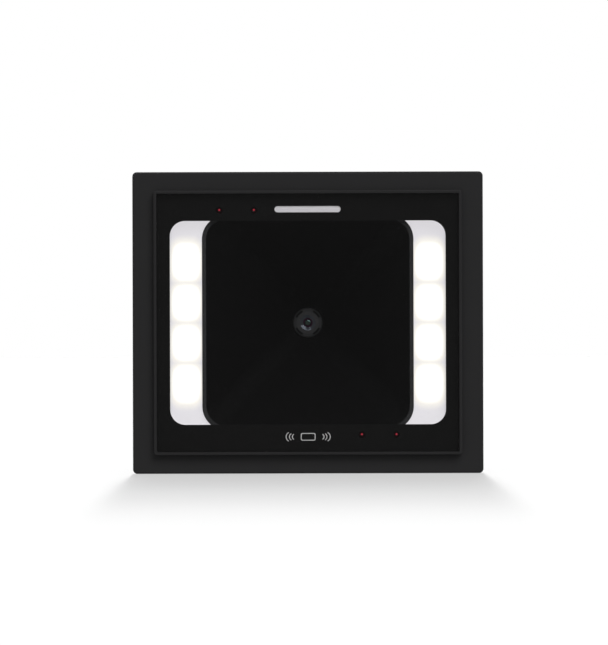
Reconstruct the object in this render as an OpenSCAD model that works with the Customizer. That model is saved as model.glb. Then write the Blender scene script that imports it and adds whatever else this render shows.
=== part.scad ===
// Fixed barcode reader for a panel: a flanged bezel with a glued-in window, two lit
// diffuser bars beside a black funnel-shaped hood, a small camera lens at the hood's
// throat, and a closed rear housing with a modular data socket.
//
// Millimetres. X is to the right as seen from the front, Y runs from the front to the
// back and Z is up. The origin is the centre of the flange's rear face, which is the
// plane of the panel that the reader is fixed in.

/* [Bezel] */
// Width of the flange
face_w = 79; // [76:0.5:90]
// Height of the flange
face_h = 68; // [65:0.5:80]
// Thickness of the flange
flange_t = 2.6; // [2.2:0.1:4]
// Radius of the flange's corners
flange_corner_r = 1; // [0.6:0.1:3]
// Rounding of the flange's front edge
flange_edge_r = 0.5; // [0.2:0.1:0.6]
// Width of the flange beside the raised frame around the window
flange_side = 4.8; // [3.5:0.1:6]
// Height of the flange above and below the raised frame
flange_end = 4.25; // [3:0.05:5.5]
// Height of the raised frame above the flange
rim_rise = 2.2; // [1.8:0.1:4]
// Wall of the raised frame
rim_wall = 0.65; // [0.6:0.05:1]
// Radius of the raised frame's corners
rim_corner_r = 0.6; // [0.4:0.1:1.5]
// Rounding of the raised frame's front edge
rim_edge_r = 0.2; // [0.1:0.05:0.3]
// Thickness of the bed plate that the window is glued to
bed_t = 1.4; // [1:0.1:2]
// Margin between the bed's opening and the window's clear area
bed_margin = 0.4; // [0.2:0.1:0.6]
// Step from the raised frame's side in to the body's side
body_step_side = 0.7; // [0.3:0.1:1.5]
// Step from the raised frame's top in to the body's top
body_step_end = 1; // [0.3:0.1:1.5]
// Wall of the skirt behind the flange
skirt_wall = 1.4; // [1:0.1:1.6]

/* [Window] */
// Thickness of the glass
window_t = 1.5; // [1:0.1:2]
// Clearance around the glass in the raised frame
window_clear = 0.05; // [0.05:0.05:0.3]
// Depth of the glass below the raised frame's front
window_recess = 0.25; // [0.1:0.05:0.6]
// Thickness of the black printed mask behind the glass
mask_t = 0.2; // [0.1:0.05:0.4]
// Thickness of the contactless antenna film
antenna_t = 0.2; // [0.1:0.05:0.4]
// Thickness of the adhesive tape
tape_t = 0.2; // [0.1:0.05:0.4]
// Distance from the skirt's inner side to the clear area
clear_side = 1.55; // [1:0.05:2.5]
// Distance from the skirt's inner top to the clear area
clear_end = 4.4; // [4:0.1:6]
// Radius of the clear area's corners
clear_r = 3.4; // [2:0.1:5]

/* [Lights] */
// Distance from the centre to the outer aiming lights
aimer_far_x = 19.9; // [17:0.1:21]
// Distance from the centre to the inner aiming lights
aimer_near_x = 12.1; // [10.5:0.1:14]
// Diameter of an aiming light
aimer_d = 1.7; // [1.6:0.1:2]
// Diameter of the hole in the mask over an aiming light
aimer_sight_d = 1.5; // [1:0.1:1.6]
// Gap between the hood and an aiming light
aimer_gap = 0.25; // [0.2:0.05:0.4]
// Width of the status light
status_w = 14.9; // [10:0.1:16]
// Height of the status light
status_h = 1.42; // [1:0.02:1.6]
// Gap between the hood and the status light's guide
status_gap = 0.44; // [0.3:0.02:0.6]
// Width of a light bar between the hood and the edge of the clear area
bar_w = 7.25; // [6.5:0.05:8.5]
// Number of white lamps in each light bar
lamp_count = 4; // [2:1:5]
// Spacing of the white lamps in a light bar
lamp_pitch = 9.04; // [7:0.02:9.2]
// Thickness of a diffuser
diffuser_t = 1.2; // [0.8:0.1:2]
// Depth of a diffuser's face behind the bed plate
diffuser_drop = 0.9; // [0.4:0.1:2]
// Depth of the reflector cells
reflector_t = 2.4; // [2:0.1:4]
// Thickness of the circuit boards
board_t = 1.2; // [0.8:0.1:1.6]

/* [Hood] */
// Lap of the hood's mouth behind the mask, above and below the clear area
hood_lap = 1.25; // [0.8:0.05:1.5]
// Radius of the hood's mouth corners, outside
hood_r = 5.3; // [4:0.1:7]
// Thickness of the hood's rim at the mouth
hood_rim = 0.75; // [0.6:0.05:1.2]
// Wall of the funnel and of the collar around its mouth
hood_wall = 1.3; // [1.2:0.1:2]
// Depth of the funnel from its mouth to its throat
funnel_depth = 23; // [20:0.5:28]
// Gap between the throat's edge and the lens barrel
throat_gap = 0.4; // [0.2:0.1:1]
// Thickness of the hood's mounting flange
hood_flange_t = 1.5; // [1.2:0.1:2.5]

/* [Camera] */
// Diameter of the lens barrel's head
barrel_d = 6.6; // [6.2:0.1:7.4]
// Diameter of the lens barrel's thread
thread_d = 6; // [5.6:0.1:6.1]
// Length of the lens barrel
barrel_len = 9.5; // [9:0.1:11]
// Diameter of the lens that shows in the barrel
front_glass_d = 2.2; // [1.6:0.1:2.6]
// Distance between the two circuit boards behind the camera
board_gap = 1.8; // [1.5:0.1:4]

/* [Housing] */
// Radius of the body's upright corners
body_r = 3; // [2.2:0.1:4]
// Rounding of the housing's back edges
back_edge_r = 2.5; // [1:0.1:3]
// Draft of the housing's walls, in degrees
draft_angle = 1; // [0.5:0.1:1.5]
// Wall of the housing
housing_wall = 2.2; // [2:0.1:2.4]
// Spacing of the mounting inserts across the back
insert_spacing_x = 40; // [36:0.5:42]
// Spacing of the mounting inserts up the back
insert_spacing_z = 30; // [28:0.5:31]
// Length of a mounting insert
insert_len = 5; // [3:0.5:5.5]
// Bore of a mounting insert, for an M3 screw
insert_bore = 2.5; // [2:0.1:3]

/* [Socket] */
// Width of the data socket
socket_w = 15.8; // [15:0.1:17]
// Height of the data socket
socket_h = 13.6; // [13:0.1:14.4]
// Length of the data socket from the main board to its face
socket_len = 10.75; // [10.2:0.05:13]
// Width of the socket's mouth
mouth_w = 11.8; // [11.6:0.1:12.2]
// Height of the socket's mouth
mouth_h = 6.8; // [6.5:0.1:7]
// Depth of the socket's mouth
mouth_depth = 9; // [8.6:0.1:9.4]
// Distance from the main board's lower edge up to the socket
socket_edge = 2.2; // [1.5:0.1:2.5]

/* [Hidden] */

$fn = 48;
// Facets of the rounded corners inside a hull
hull_fn = 32;
// Slices along a rounded edge
edge_steps = 4;
// Thickness of a slice that a hull joins
slice = 0.02;
// Reach of a cut past the face that it opens
past = 1;
// Gap between pieces that are placed by hand
loose = 0.3;
// Gap between pieces that fit closely
snug = 0.1;
// Gap between a pressed or screwed piece and its hole
tight = 0.02;
// Free depth of a screw hole past the screw's tip
tip_room = 0.25;

// Colours
shell_colour = [0.15, 0.15, 0.155];
mask_colour = [0.02, 0.02, 0.02];
hood_colour = [0.06, 0.06, 0.065];
glass_colour = [0.75, 0.8, 0.85, 0.3];
milk_colour = [0.93, 0.92, 0.93];
lamp_colour = [1, 0.98, 0.9];
board_colour = [0.05, 0.25, 0.14];
chip_colour = [0.1, 0.1, 0.11];
steel_colour = [0.6, 0.61, 0.63];
brass_colour = [0.8, 0.65, 0.3];
red_colour = [0.55, 0.05, 0.07];
film_colour = [0.55, 0.35, 0.15];
filter_colour = [0.5, 0.75, 0.8, 0.5];

// Screws: shank diameter, head diameter, head height, length under the head
chassis_screw = [2, 3.6, 1, 5.6];
board_screw = [2, 3.6, 1.2, 8];
housing_screw = [2.5, 4.6, 1.8, 7];
// Width and thickness of the cross recess, as shares of the head's diameter
recess_w = 0.45;
recess_t = 0.14;

// Depths of the layers, from the front to the back
rim_front_y = -(flange_t + rim_rise);
window_front_y = rim_front_y + window_recess;
window_back_y = window_front_y + window_t;
mask_back_y = window_back_y + mask_t;
antenna_back_y = mask_back_y + antenna_t;
bed_front_y = antenna_back_y + tape_t;
bed_back_y = bed_front_y + bed_t;
diffuser_front_y = bed_back_y + diffuser_drop;
diffuser_back_y = diffuser_front_y + diffuser_t;
led_board_y = diffuser_back_y + reflector_t;
hood_flange_y = led_board_y + board_t;
hood_back_y = hood_flange_y + hood_flange_t;
mouth_y = bed_back_y + snug;
throat_y = mouth_y + funnel_depth;

// Seam between the skirt and the housing, with the lip and the seal behind it
seam_lip_len = 1.4;
seam_reveal = 0.3;
seal_w = 0.5;
seal_t = 0.8;
skirt_len = hood_back_y + chassis_screw[2] + loose + seam_lip_len;

// Outlines, each set in from the one around it
rim_w = face_w - 2 * flange_side;
rim_h = face_h - 2 * flange_end;
body_w = rim_w - 2 * body_step_side;
body_h = rim_h - 2 * body_step_end;
pocket_w = body_w - 2 * skirt_wall;
pocket_h = body_h - 2 * skirt_wall;
pocket_r = body_r - skirt_wall;
carrier_w = pocket_w - 2 * loose;
carrier_h = pocket_h - 2 * loose;
clear_w = pocket_w - 2 * clear_side;
clear_h = pocket_h - 2 * clear_end;
hood_w = clear_w - 2 * bar_w;
hood_h = clear_h + 2 * hood_lap;

// Window and its bed
window_w = rim_w - 2 * (rim_wall + window_clear);
window_h = rim_h - 2 * (rim_wall + window_clear);
window_corner_r = 0.3;
film_inset = 0.4;
bed_open_w = clear_w + 2 * bed_margin;
bed_open_h = clear_h + 2 * bed_margin;
bed_open_r = clear_r + bed_margin;

// Light bars
bar_x = (hood_w + bar_w) / 2;
bar_tip_x = (hood_w - hood_r) / 2;
lamp_w = 2.8;
lamp_h = 3.5;
lamp_t = 0.9;
diffuser_lap = 0.7;
diffuser_rib = 0.5;
cell_wall = 0.55;
cell_r = 1.6;

// Aiming lights and status light
aimer_z = hood_h / 2 + aimer_gap + aimer_d / 2;
aimer_spots = [
    [-aimer_far_x, aimer_z], [-aimer_near_x, aimer_z],
    [aimer_near_x, -aimer_z], [aimer_far_x, -aimer_z]
];
aimer_hole_d = aimer_d + 2 * snug;
guide_lap = 0.2;
guide_w = status_w + 2 * guide_lap;
guide_h = status_h + 2 * guide_lap;
guide_foot = 1.6;
status_z = hood_h / 2 + status_gap + guide_h / 2;
status_lamp_w = 1.6;
status_lamp_h = 0.8;
status_lamp_t = 0.6;
status_lamp_pitch = 3.7;

// Corner screws that clamp the hood and the lamp board to the bezel
screw_inset = chassis_screw[1] / 2 + loose;
chassis_x = pocket_w / 2 - screw_inset;
chassis_z = pocket_h / 2 - screw_inset;
chassis_boss_d = 3.8;

// Camera
barrel_proud = 0.8;
barrel_head_len = 3;
barrel_wall = 0.9;
crown_inset = 0.75;
crown_step = 0.25;
cone_mouth_r = 1.8;
cone_depth = 0.3;
stop_len = 0.6;
slot_w = 0.3;
slot_rim = 0.22;
slot_depth = 1.8;
slot_angle = 40;
lens_t = 1.2;
front_bulge = 0.48;
rear_bulge = 0.3;
spacer_len = 2.6;
spacer_wall = 0.5;
retainer_len = 1;
retainer_wall = 0.6;
web_t = 0.6;
filter_t = 0.3;
sensor_t = 1;
sensor_w = 7.2;
sensor_h = 5.6;
sensor_gap = 0.2;
holder_wall = 1.5;
holder_foot_t = 3;
holder_gap = 0.6;
throat_d = barrel_d + 2 * throat_gap;
throat_plate_t = 1.5;
throat_plate_wall = 2;
gusset_t = 1.2;
gusset_len = 13;
gusset_lap = 1.2;
throat_plate_d = throat_d + 2 * throat_plate_wall;
bore_d = thread_d - 2 * barrel_wall;
barrel_y = throat_y - barrel_proud;
front_lens_y = barrel_y + cone_depth + stop_len;
spacer_y = front_lens_y + lens_t;
rear_lens_y = spacer_y + spacer_len;
retainer_y = rear_lens_y + lens_t;
barrel_back_y = barrel_y + barrel_len;
web_y = barrel_back_y + snug;
filter_y = web_y + web_t;
sensor_y = filter_y + filter_t + sensor_gap;
imager_y = sensor_y + sensor_t;
holder_d = thread_d + 2 * holder_wall;
holder_foot_lap = 1.5;
holder_w = holder_d + 2 * holder_foot_lap;
holder_front_y = barrel_y + barrel_head_len + holder_gap;

// Boards and the posts that carry them
imager_back_y = imager_y + board_t;
main_y = imager_back_y + board_gap;
main_back_y = main_y + board_t;
imager_w = 34;
imager_h = 26;
imager_r = 1;
main_inset_x = 8.3;
main_inset_z = 9.05;
main_w = carrier_w - 2 * main_inset_x;
main_h = carrier_h - 2 * main_inset_z;
main_r = 1.5;
post_inset = 3.5;
board_post_x = imager_w / 2 - post_inset;
board_post_z = imager_h / 2 - post_inset;
board_post_d = 4.4;
connector_w = 13;
connector_h = 3.6;
connector_edge = 0.8;
processor_w = 11;
processor_t = 1.2;
processor_spot = [3, 9];
memory_w = 6;
memory_h = 9;
memory_t = 1;
memory_edge = 7;
memory_spot = [main_w / 2 - memory_edge, -1];
beeper_d = 9;
beeper_t = 4;
beeper_port_d = 2;
beeper_port_t = 0.8;
beeper_edge = 8;
beeper_spot = [beeper_edge - main_w / 2, 2];

// Ribbon between the lamp board and the main board
ribbon_w = 6;
ribbon_t = 0.3;
ribbon_bend = 2;
ribbon_socket_w = 3;
ribbon_socket_h = 7;
ribbon_socket_t = 1.8;
ribbon_offset = 1;
ribbon_x = bar_x + ribbon_offset;

// Housing
housing_post_inset_x = 4.4;
housing_post_inset_z = 6.95;
housing_post_x = pocket_w / 2 - housing_post_inset_x;
housing_post_z = pocket_h / 2 - housing_post_inset_z;
housing_post_d = 6;
housing_post_len = 20;
well_d = housing_screw[1] + 4 * snug;
well_wall = 1.2;
well_floor = 2.5;
well_y = hood_back_y + housing_post_len;
body_depth = main_back_y + socket_len + snug;
inner_back_y = body_depth - housing_wall;
lip_w = pocket_w - 2 * snug;
lip_h = pocket_h - 2 * snug;
lip_r = pocket_r - snug;
draft = tan(draft_angle) * (body_depth - skirt_len);
insert_d = 4.2;
insert_boss_wall = 1.3;
insert_room = 1;
sound_hole_d = 1.2;
sound_ring_r = 2.4;
sound_holes = 5;

// Data socket
socket_back_y = body_depth - snug;
socket_z = socket_edge + (socket_h - main_h) / 2;
mouth_lift = 1.6;
mouth_z = socket_z + mouth_lift;
mouth_floor_y = socket_back_y - mouth_depth;
latch_w = 6.2;
latch_h = 1.6;
tab_w = 3.4;
tab_h = 1.2;
contact_count = 8;
contact_pitch = 1.02;
contact_w = 0.45;
contact_t = 0.25;
contact_drop = 1.7;
contact_setback = 1.5;
contact_bend = 1.4;

// Profiles are drawn with x across and y up, then extruded along Y

module rounded(w, h, r) {
    square([w - 2 * r, h], center = true);
    square([w, h - 2 * r], center = true);
    for (x = [-1, 1], z = [-1, 1])
        translate([x * (w / 2 - r), z * (h / 2 - r)]) circle(r = r);
}

module pill(w, h) {
    square([w - h, h], center = true);
    for (x = [-1, 1]) translate([x * (w - h) / 2, 0]) circle(d = h);
}

module slab(y0, y1) {
    translate([0, y1, 0]) rotate([90, 0, 0]) linear_extrude(y1 - y0) children();
}

module rod(x, z, y0, y1, d) {
    translate([x, y1, z]) rotate([90, 0, 0]) cylinder(h = y1 - y0, d = d);
}

module block(x, z, w, h, y0, y1) {
    slab(y0, y1) translate([x, z]) square([w, h], center = true);
}

module at_corners(x, z) {
    for (sx = [-1, 1], sz = [-1, 1]) translate([sx * x, 0, sz * z]) children();
}

// A turned piece on the camera's axis: the profile's x is the radius, its y is the depth
module turned(y0) {
    translate([0, y0, 0]) rotate([-90, 0, 0]) rotate_extrude() children();
}

// A rounded plate with a quarter-round front edge
module soft_slab(w, h, r, y0, y1, edge) {
    hull() for (i = [0:edge_steps]) {
        angle = 90 * i / edge_steps;
        inset = edge * (1 - sin(angle));
        depth = edge * (1 - cos(angle));
        slab(y0 + depth, y0 + depth + slice)
            rounded(w - 2 * inset, h - 2 * inset, max(r - inset, slice), $fn = hull_fn);
    }
    slab(y0 + edge, y1) rounded(w, h, r);
}

// A straight loft between two rounded plates
module loft(w0, h0, r0, y0, w1, h1, r1, y1) {
    hull() {
        slab(y0, y0 + slice) rounded(w0, h0, r0, $fn = hull_fn);
        slab(y1 - slice, y1) rounded(w1, h1, r1, $fn = hull_fn);
    }
}

// A pan-head screw along Y: the head seats at y_seat and the shank runs to the front
module screw(y_seat, size) {
    head_back_y = y_seat + size[2];
    difference() {
        union() {
            rod(0, 0, y_seat - size[3], y_seat, size[0]);
            rod(0, 0, y_seat, head_back_y, size[1]);
        }
        for (turn = [0, 90])
            translate([0, head_back_y, 0]) rotate([0, turn, 0])
                cube([size[1] * recess_w, size[2], size[1] * recess_t], center = true);
    }
}

module aimer_holes(y0, y1, d) {
    for (spot = aimer_spots) rod(spot[0], spot[1], y0, y1, d);
}

module guide_slot(y0, y1) {
    slab(y0, y1) translate([0, status_z]) pill(guide_w + 2 * snug, guide_h + 2 * snug);
}

function lamp_z(i) = (i - (lamp_count - 1) / 2) * lamp_pitch;

// Front

// Corner posts for the chassis screws, each joined to the corner of the skirt
module chassis_bosses() {
    reach = screw_inset + skirt_wall;
    slab(bed_back_y, led_board_y) intersection() {
        rounded(body_w - skirt_wall, body_h - skirt_wall, body_r - skirt_wall / 2);
        for (sx = [-1, 1], sz = [-1, 1]) translate([sx * chassis_x, sz * chassis_z]) {
            circle(d = chassis_boss_d);
            translate([sx * reach / 2, sz * reach / 2]) square(reach, center = true);
        }
    }
}

// Flange, raised frame, window bed and skirt in one moulding
module front_bezel() {
    color(shell_colour) difference() {
        union() {
            difference() {
                union() {
                    soft_slab(face_w, face_h, flange_corner_r, -flange_t, 0, flange_edge_r);
                    soft_slab(rim_w, rim_h, rim_corner_r, rim_front_y, -flange_t, rim_edge_r);
                    slab(0, skirt_len) rounded(body_w, body_h, body_r);
                }
                slab(rim_front_y - past, bed_front_y)
                    rounded(rim_w - 2 * rim_wall, rim_h - 2 * rim_wall, window_corner_r);
                slab(bed_front_y - past, bed_back_y + past)
                    rounded(bed_open_w, bed_open_h, bed_open_r);
                slab(bed_back_y, skirt_len + past) rounded(pocket_w, pocket_h, pocket_r);
            }
            chassis_bosses();
        }
        at_corners(chassis_x, chassis_z)
            rod(0, 0, hood_back_y - chassis_screw[3] - tip_room, led_board_y + past,
                chassis_screw[0] + 2 * tight);
        aimer_holes(bed_front_y - past, bed_back_y + past, aimer_hole_d);
        guide_slot(bed_front_y - past, bed_back_y + past);
    }
}

module window() {
    color(glass_colour)
        slab(window_front_y, window_back_y) rounded(window_w, window_h, window_corner_r);
}

module window_mask() {
    color(mask_colour) difference() {
        slab(window_back_y, mask_back_y) rounded(window_w, window_h, window_corner_r);
        slab(window_back_y - past, mask_back_y + past) rounded(clear_w, clear_h, clear_r);
        aimer_holes(window_back_y - past, mask_back_y + past, aimer_sight_d);
        slab(window_back_y - past, mask_back_y + past)
            translate([0, status_z]) pill(status_w, status_h);
    }
}

// A thin frame behind the mask, clear of the bed's opening and of the small lights
module film_frame(y0, y1) {
    difference() {
        slab(y0, y1)
            rounded(window_w - 2 * film_inset, window_h - 2 * film_inset, window_corner_r);
        slab(y0 - past, y1 + past) rounded(bed_open_w, bed_open_h, bed_open_r);
        aimer_holes(y0 - past, y1 + past, aimer_hole_d);
        guide_slot(y0 - past, y1 + past);
    }
}

module antenna_film() {
    color(film_colour) film_frame(mask_back_y, antenna_back_y);
}

module window_tape() {
    color(mask_colour) film_frame(antenna_back_y, bed_front_y);
}

// Lights

// The outline of one light bar: the clear area, grown by a lap, outside the hood's mouth
module bar_outline(side) {
    reach = clear_w / 2 + diffuser_lap - bar_tip_x;
    intersection() {
        difference() {
            rounded(clear_w + 2 * diffuser_lap, clear_h + 2 * diffuser_lap,
                clear_r + diffuser_lap);
            rounded(hood_w + 2 * snug, hood_h + 2 * snug, hood_r + snug);
        }
        translate([side * (bar_tip_x + reach / 2), 0]) square([reach, hood_h], center = true);
    }
}

// A milky plate with a rib along its outer edge, which bears on the back of the bed
module diffuser(side) {
    rib_inset = diffuser_lap - diffuser_rib;
    color(milk_colour) {
        slab(diffuser_front_y, diffuser_back_y) bar_outline(side);
        slab(bed_back_y, diffuser_front_y) difference() {
            bar_outline(side);
            rounded(clear_w + 2 * rib_inset, clear_h + 2 * rib_inset, clear_r + rib_inset);
        }
    }
}

module left_diffuser() {
    diffuser(-1);
}

module right_diffuser() {
    diffuser(1);
}

// A white block with one flared cell for each lamp
module reflector(side) {
    block_w = bar_w - 2 * snug;
    color(milk_colour) difference() {
        block(side * bar_x, 0, block_w, lamp_count * lamp_pitch + cell_wall,
            diffuser_back_y, led_board_y);
        for (i = [0:lamp_count - 1]) translate([side * bar_x, 0, lamp_z(i)])
            loft(block_w - 2 * cell_wall, lamp_pitch - cell_wall, cell_r,
                diffuser_back_y - slice, lamp_w + 2 * snug, lamp_h + 2 * snug, snug,
                led_board_y + slice);
    }
}

module left_reflector() {
    reflector(-1);
}

module right_reflector() {
    reflector(1);
}

// A board in the shape of a frame, which the hood's collar passes through
module led_board() {
    color(board_colour) difference() {
        slab(led_board_y, hood_flange_y) rounded(carrier_w, carrier_h, pocket_r);
        slab(led_board_y - past, hood_flange_y + past)
            rounded(hood_w + 2 * loose, hood_h + 2 * loose, hood_r + loose);
        at_corners(chassis_x, chassis_z)
            rod(0, 0, led_board_y - past, hood_flange_y + past, chassis_screw[0] + 2 * snug);
    }
}

module white_leds() {
    color(lamp_colour) for (side = [-1, 1], i = [0:lamp_count - 1])
        block(side * bar_x, lamp_z(i), lamp_w, lamp_h, led_board_y - lamp_t, led_board_y);
}

module aimer_leds() {
    dome_y = mask_back_y + snug + aimer_d / 2;
    color(red_colour) for (spot = aimer_spots) {
        rod(spot[0], spot[1], dome_y, led_board_y, aimer_d);
        translate([spot[0], dome_y, spot[1]]) sphere(d = aimer_d);
    }
}

// A milky bar whose nose fills the slot in the mask; its two feet stand on the board
module status_light_guide() {
    guide_back_y = led_board_y - status_lamp_t - snug;
    foot_x = (guide_w - guide_h - guide_foot) / 2;
    color(milk_colour) translate([0, 0, status_z]) {
        slab(mask_back_y, guide_back_y) pill(guide_w, guide_h);
        for (side = [-1, 1])
            block(side * foot_x, 0, guide_foot, guide_h, guide_back_y, led_board_y);
    }
}

module status_leds() {
    color(lamp_colour) for (i = [-1:1])
        block(i * status_lamp_pitch, status_z, status_lamp_w, status_lamp_h,
            led_board_y - status_lamp_t, led_board_y);
}

// Hood

// The funnel's form, grown outwards by a run: a rounded rectangle that turns into a circle
module funnel(run, y0, y1) {
    mouth_w_in = hood_w - 2 * hood_rim;
    mouth_h_in = hood_h - 2 * hood_rim;
    loft(mouth_w_in + 2 * run, mouth_h_in + 2 * run, hood_r - hood_rim + run, y0,
        throat_d + 2 * run, throat_d + 2 * run, throat_d / 2 + run - slice, y1);
}

// Two triangular webs that brace each board post against the flange
module gussets() {
    tip_y = hood_flange_y + gusset_len;
    for (sx = [-1, 1], sz = [-1, 1]) {
        translate([0, 0, sz * board_post_z - gusset_t / 2]) linear_extrude(gusset_t) polygon([
            [sx * board_post_x, hood_flange_y], [sx * (hood_w / 2 + gusset_lap), hood_flange_y],
            [sx * (hood_w / 2 + gusset_lap), hood_back_y], [sx * board_post_x, tip_y]
        ]);
        translate([sx * board_post_x + gusset_t / 2, 0, 0]) rotate([0, -90, 0])
            linear_extrude(gusset_t) polygon([
                [sz * board_post_z, hood_flange_y], [sz * (hood_h / 2 + gusset_lap), hood_flange_y],
                [sz * (hood_h / 2 + gusset_lap), hood_back_y], [sz * board_post_z, tip_y]
            ]);
    }
}

// A thin-walled funnel behind a collar, with a mounting flange and braced posts for the
// boards and the housing, in one moulding
module lens_hood() {
    slope = atan((hood_w / 2 - hood_rim - throat_d / 2) / funnel_depth);
    wall_run = hood_wall / cos(slope);
    color(hood_colour) difference() {
        union() {
            difference() {
                union() {
                    slab(mouth_y, hood_back_y) rounded(hood_w, hood_h, hood_r);
                    slab(hood_flange_y, hood_back_y) rounded(carrier_w, carrier_h, pocket_r);
                }
                slab(mouth_y + hood_wall, hood_back_y + past)
                    rounded(hood_w - 2 * hood_wall, hood_h - 2 * hood_wall, hood_r - hood_wall);
            }
            intersection() {
                funnel(wall_run, mouth_y, throat_y);
                slab(mouth_y, throat_y) rounded(hood_w, hood_h, hood_r);
            }
            rod(0, 0, throat_y - throat_plate_t, throat_y + throat_plate_t, throat_plate_d);
            at_corners(board_post_x, board_post_z)
                rod(0, 0, hood_back_y, imager_y, board_post_d);
            gussets();
            at_corners(housing_post_x, housing_post_z)
                rod(0, 0, hood_flange_y, well_y, housing_post_d);
        }
        funnel(0, mouth_y - slice, throat_y);
        rod(0, 0, throat_y - past, throat_y + throat_plate_t + past, barrel_d + 2 * snug);
        at_corners(board_post_x, board_post_z)
            rod(0, 0, main_back_y - board_screw[3] - tip_room, imager_y + past,
                board_screw[0] + 2 * tight);
        at_corners(housing_post_x, housing_post_z)
            rod(0, 0, well_y + well_floor - housing_screw[3] - tip_room, well_y + past,
                housing_screw[0] + 2 * tight);
        at_corners(chassis_x, chassis_z)
            rod(0, 0, hood_flange_y - past, hood_back_y + past, chassis_screw[0] + 2 * snug);
        block(ribbon_x, 0, ribbon_socket_w + 2 * loose, ribbon_socket_h + 2 * loose,
            hood_flange_y - past, hood_back_y + past);
    }
}

module chassis_screws() {
    color(steel_colour) at_corners(chassis_x, chassis_z) screw(hood_back_y, chassis_screw);
}

// Camera

// A headed tube with a shallow coned mouth, a raised crown and four wrench slots around it
module lens_barrel() {
    head_r = barrel_d / 2;
    crown_r = head_r - crown_inset;
    slot_r = head_r - slot_rim - slot_w;
    stop_y = cone_depth + stop_len;
    color(shell_colour) difference() {
        turned(barrel_y) polygon([
            [cone_mouth_r, 0], [crown_r, 0], [crown_r, crown_step], [head_r, crown_step],
            [head_r, barrel_head_len], [thread_d / 2, barrel_head_len],
            [thread_d / 2, barrel_len], [bore_d / 2, barrel_len],
            [bore_d / 2, stop_y], [front_glass_d / 2, stop_y], [front_glass_d / 2, cone_depth]
        ]);
        for (turn = [45:90:315])
            translate([0, barrel_y, 0]) rotate([-90, 0, 0]) rotate([0, 0, turn - slot_angle / 2])
                rotate_extrude(angle = slot_angle) translate([slot_r, -past])
                    square([slot_w, slot_depth + past]);
    }
}

// A lens with a flat back, whose front bulges by a spherical cap
module bulged_lens(y0, cap_d, bulge) {
    cap_r = cap_d / 2;
    sphere_r = (cap_r * cap_r + bulge * bulge) / (2 * bulge);
    color(glass_colour) {
        turned(y0) square([bore_d / 2 - tight, lens_t]);
        intersection() {
            translate([0, y0 - bulge + sphere_r, 0]) sphere(r = sphere_r);
            rod(0, 0, y0 - bulge - past, y0, cap_d);
        }
    }
}

module front_lens() {
    bulged_lens(front_lens_y, front_glass_d - 2 * tight, front_bulge);
}

module rear_lens() {
    bulged_lens(rear_lens_y, bore_d - 2 * spacer_wall - 2 * snug, rear_bulge);
}

// A ring that fills the barrel's bore
module bore_ring(y0, len, wall) {
    color(chip_colour) turned(y0) translate([bore_d / 2 - wall, 0]) square([wall - tight, len]);
}

module lens_spacer() {
    bore_ring(spacer_y, spacer_len, spacer_wall);
}

module lens_retainer() {
    bore_ring(retainer_y, retainer_len, retainer_wall);
}

// A threaded tube on a square foot, which covers the image sensor
module lens_holder() {
    color(chip_colour) difference() {
        union() {
            rod(0, 0, holder_front_y, imager_y, holder_d);
            block(0, 0, holder_w, holder_w, imager_y - holder_foot_t, imager_y);
        }
        rod(0, 0, holder_front_y - past, web_y, thread_d + 2 * tight);
        rod(0, 0, web_y - past, filter_y + past, sensor_h - 2 * sensor_gap);
        block(0, 0, sensor_w + 2 * loose, sensor_h + 2 * loose, filter_y, imager_y + past);
    }
}

module infrared_filter() {
    color(filter_colour) block(0, 0, sensor_w, sensor_h, filter_y, filter_y + filter_t);
}

module image_sensor() {
    color(chip_colour) block(0, 0, sensor_w, sensor_h, sensor_y, imager_y);
}

// Boards

module post_holes(y0, y1) {
    at_corners(board_post_x, board_post_z) rod(0, 0, y0, y1, board_screw[0] + 2 * snug);
}

module imager_board() {
    color(board_colour) difference() {
        slab(imager_y, imager_back_y) rounded(imager_w, imager_h, imager_r);
        post_holes(imager_y - past, imager_back_y + past);
    }
}

module board_connector() {
    connector_z = connector_h / 2 + connector_edge - imager_h / 2;
    color(chip_colour)
        block(0, connector_z, connector_w, connector_h, imager_back_y, main_y);
}

module board_spacers() {
    color(steel_colour) difference() {
        at_corners(board_post_x, board_post_z) rod(0, 0, imager_back_y, main_y, board_post_d);
        post_holes(imager_back_y - past, main_y + past);
    }
}

module main_board() {
    color(board_colour) difference() {
        slab(main_y, main_back_y) rounded(main_w, main_h, main_r);
        post_holes(main_y - past, main_back_y + past);
    }
}

module board_screws() {
    color(steel_colour) at_corners(board_post_x, board_post_z) screw(main_back_y, board_screw);
}

module processor() {
    color(chip_colour) block(processor_spot[0], processor_spot[1], processor_w, processor_w,
        main_back_y, main_back_y + processor_t);
}

module memory_chip() {
    color(chip_colour) block(memory_spot[0], memory_spot[1], memory_w, memory_h,
        main_back_y, main_back_y + memory_t);
}

module beeper() {
    beeper_back_y = main_back_y + beeper_t;
    color(chip_colour) difference() {
        rod(beeper_spot[0], beeper_spot[1], main_back_y, beeper_back_y, beeper_d);
        rod(beeper_spot[0], beeper_spot[1], beeper_back_y - beeper_port_t,
            beeper_back_y + past, beeper_port_d);
    }
}

// One socket on the lamp board's back and one on the main board's front
module ribbon_sockets() {
    color(milk_colour) {
        block(ribbon_x, 0, ribbon_socket_w, ribbon_socket_h, hood_flange_y,
            hood_flange_y + ribbon_socket_t);
        block((main_w - ribbon_socket_w) / 2, 0, ribbon_socket_w, ribbon_socket_h,
            main_y - ribbon_socket_t, main_y);
    }
}

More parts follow.
